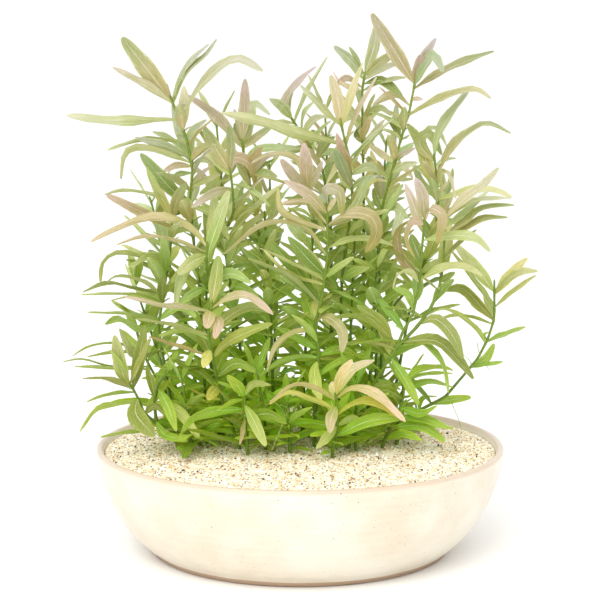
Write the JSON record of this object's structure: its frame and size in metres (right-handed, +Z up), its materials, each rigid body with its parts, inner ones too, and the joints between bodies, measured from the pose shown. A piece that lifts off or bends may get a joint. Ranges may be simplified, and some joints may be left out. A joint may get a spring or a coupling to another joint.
{
  "type": "potted dwarf hygrophila",
  "caption": "Bushy aquarium stem plant with slender pink and green leaves on upright shoots, rooted in pale sand in a low round pot.",
  "frame": {"origin": "centre of the pot's flat foot, on the surface it stands on", "axes": "+Z up along the pot's axis, +Y away from the pictured front, +X to its right"},
  "size_m": [0.2924, 0.254, 0.3317],
  "materials": {
    "pot": "satin glaze",
    "sand": "loose fine grains",
    "upper_leaf": "soft satin, pinkish olive",
    "lower_leaf": "soft satin, fresh green"
  },
  "bodies": {
    "root": {"pot": "pot", "sand": "sand", "tall_left": "upper_leaf", "mid_left": "lower_leaf", "inner_left": "lower_leaf", "front_left": "upper_leaf", "low_left": "lower_leaf", "behind_low_left": "lower_leaf", "back_left": "upper_leaf", "centre_top": "upper_leaf", "top_mid": "upper_leaf", "top_centre": "lower_leaf", "top_right": "upper_leaf", "back_right": "upper_leaf", "front_right": "upper_leaf", "right": "lower_leaf", "low_right": "lower_leaf", "front_centre": "upper_leaf", "centre": "upper_leaf", "centre_left": "upper_leaf", "inner_upper_left": "upper_leaf", "front_small_left": "lower_leaf", "filler_back_far_left": "lower_leaf", "filler_back_left": "lower_leaf", "filler_back_mid_left": "lower_leaf", "filler_back_mid_right": "lower_leaf", "filler_back_right": "lower_leaf", "filler_back_far_right": "lower_leaf", "filler_right": "lower_leaf", "filler_left": "lower_leaf", "filler_mid_left": "lower_leaf", "filler_mid": "lower_leaf", "filler_mid_right": "lower_leaf", "filler_inner_right": "lower_leaf", "filler_low_left": "lower_leaf", "filler_low_mid_left": "lower_leaf", "filler_low_mid": "lower_leaf", "filler_low_mid_right": "lower_leaf", "filler_low_right": "lower_leaf"}
  },
  "joints": []
}
